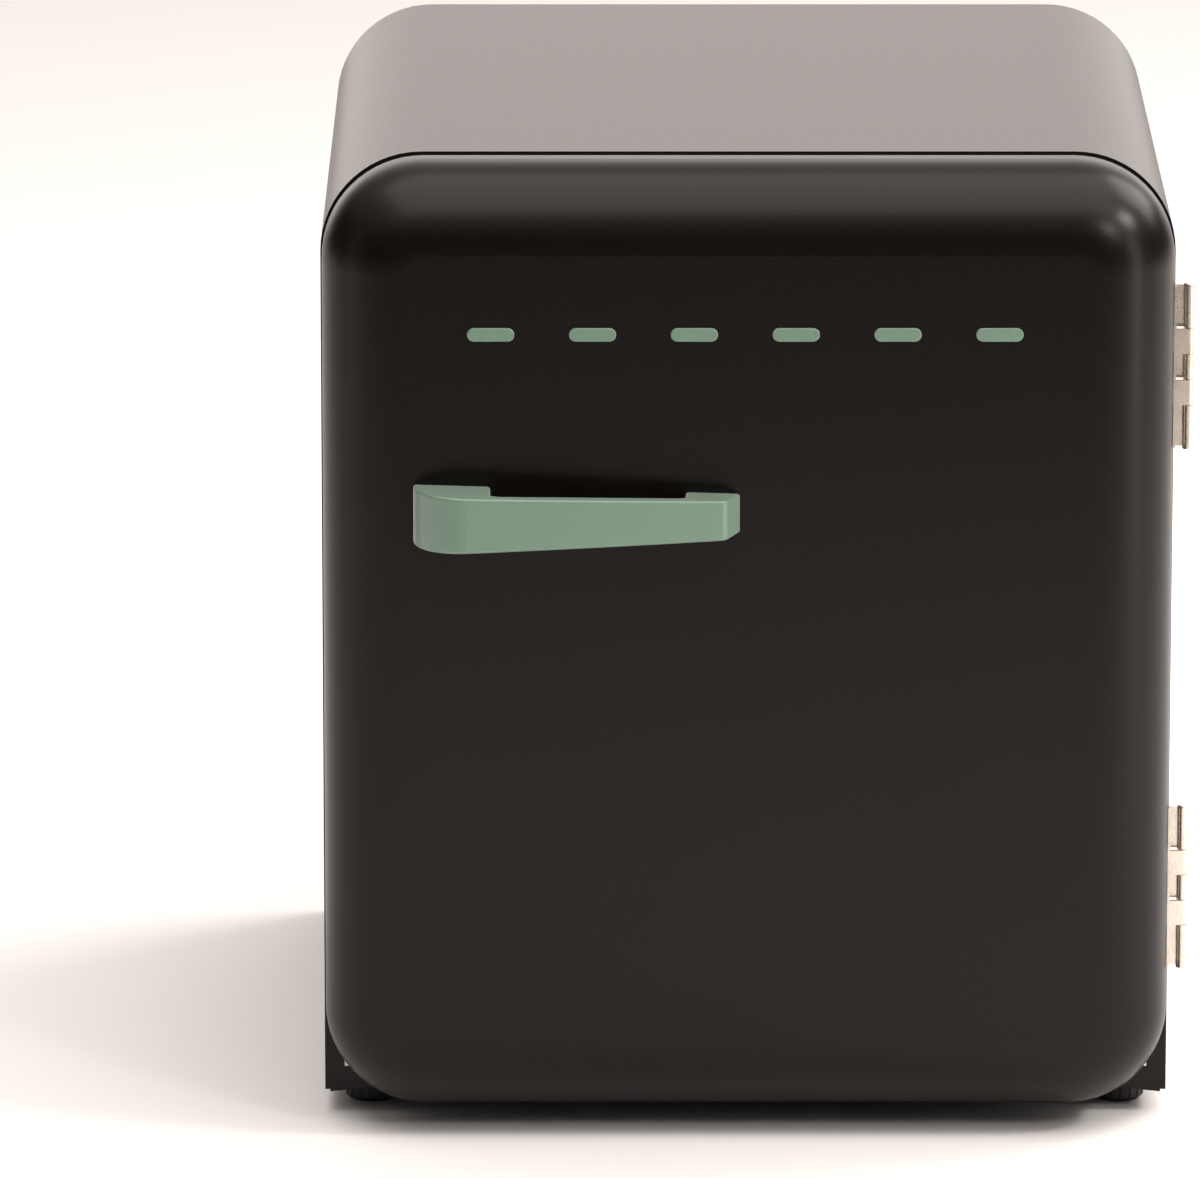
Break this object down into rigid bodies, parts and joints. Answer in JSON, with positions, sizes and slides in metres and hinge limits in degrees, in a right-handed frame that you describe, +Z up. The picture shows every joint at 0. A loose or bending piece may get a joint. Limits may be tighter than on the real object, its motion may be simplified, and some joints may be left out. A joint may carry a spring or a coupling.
{
  "type": "mini fridge",
  "caption": "Retro table-top mini fridge: rounded insulated cabinet and door, pull handle, side hinges, freezer box, wire shelf and rear compressor.",
  "frame": {"origin": "centre of the whole object's footprint on the floor, at the bottom of the feet", "axes": "+Z up, +Y to the back of the fridge, +X to the right as seen from the front; the door faces -Y and is hinged on +X"},
  "size_m": [0.4468, 0.488, 0.51],
  "materials": {
    "black_paint": "satin",
    "galvanised": "dull zinc",
    "white_plastic": "smooth",
    "foam": "cellular",
    "black_plastic": "matte",
    "zinc_steel": "satin",
    "black_enamel": "semi gloss",
    "rubber": "matte",
    "magnet": "matte",
    "copper": "drawn",
    "aluminium": "rolled",
    "nickel": "satin",
    "clear_plastic": "clear",
    "white_wire": "gloss",
    "green_handle": "satin",
    "knob_plastic": "satin"
  },
  "bodies": {
    "cabinet": {"outer_wrapper": "black_paint", "back_panel": "galvanised", "bay_panel": "galvanised", "inner_liner": "white_plastic", "foam_core": "foam", "base_pan": "black_paint", "foot_brackets": "black_paint", "rear_feet": "black_plastic", "back_panel_screws": "zinc_steel", "compressor": "black_enamel", "compressor_mount_plate": "galvanised", "compressor_grommets": "rubber", "compressor_bolts": "zinc_steel", "start_relay_cover": "black_plastic", "filter_drier": "copper", "suction_tube": "copper", "discharge_tube": "copper", "liquid_tube": "copper", "capillary_tube": "copper", "condenser_tube": "black_enamel", "condenser_wires": "black_enamel", "condenser_clips": "black_plastic", "cord_gland": "black_plastic", "freezer_box": "aluminium", "freezer_hangers": "white_plastic", "freezer_frame": "white_plastic", "flap_pins": "nickel", "tray_rails": "white_plastic", "thermostat_housing": "white_plastic", "thermostat": "zinc_steel", "upper_hinge_cabinet_leaf": "nickel", "lower_hinge_cabinet_leaf": "nickel", "upper_hinge_pin": "nickel", "lower_hinge_pin": "nickel", "hinge_cabinet_screws": "zinc_steel"},
    "door": {"door_skin": "black_paint", "door_foam": "foam", "door_liner": "white_plastic", "door_gasket": "rubber", "gasket_magnets": "magnet", "upper_door_bin": "clear_plastic", "lower_door_bin": "clear_plastic", "handle": "green_handle", "handle_screws": "zinc_steel", "badge_dashes": "green_handle", "upper_hinge_door_leaf": "nickel", "lower_hinge_door_leaf": "nickel", "hinge_door_screws": "zinc_steel"},
    "flap": {"freezer_flap": "white_plastic"},
    "tray": {"drip_tray": "clear_plastic"},
    "shelf": {"wire_shelf": "white_wire"},
    "knob": {"thermostat_knob": "knob_plastic"},
    "left_foot": {"front_foot_left": "black_plastic"},
    "right_foot": {"front_foot_right": "black_plastic"}
  },
  "joints": [
    {"name": "door_hinge", "type": "hinge", "parent": "cabinet", "child": "door", "pos_m": [0.22065, -0.1615, 0.26], "axis": [0, 0, 1], "range_deg": [0, 135]},
    {"name": "flap_hinge", "type": "hinge", "parent": "cabinet", "child": "flap", "pos_m": [0.08715, -0.102, 0.409], "axis": [0, 0, 1], "range_deg": [0, 95]},
    {"name": "tray_slide", "type": "slide", "parent": "cabinet", "child": "tray", "axis": [0, -1, 0], "range_m": [0, 0.18]},
    {"name": "shelf_slide", "type": "slide", "parent": "cabinet", "child": "shelf", "axis": [0, -1, 0], "range_m": [0, 0.18]},
    {"name": "knob_turn", "type": "hinge", "parent": "cabinet", "child": "knob", "pos_m": [0.14815, -0.084, 0.424], "axis": [0, -1, 0], "range_deg": [0, 290]},
    {"name": "left_foot_turn", "type": "hinge", "parent": "cabinet", "child": "left_foot", "pos_m": [-0.19985, -0.127, 0.005], "axis": [0, 0, 1], "continuous": true},
    {"name": "right_foot_turn", "type": "hinge", "parent": "cabinet", "child": "right_foot", "pos_m": [0.19015, -0.127, 0.005], "axis": [0, 0, 1], "continuous": true}
  ],
  "couplings": [
    {"joint": "flap_hinge", "follows": "door_hinge", "ratio": 0.7},
    {"joint": "tray_slide", "follows": "door_hinge", "m_per_rad": 0.0745},
    {"joint": "shelf_slide", "follows": "door_hinge", "m_per_rad": 0.0745}
  ]
}
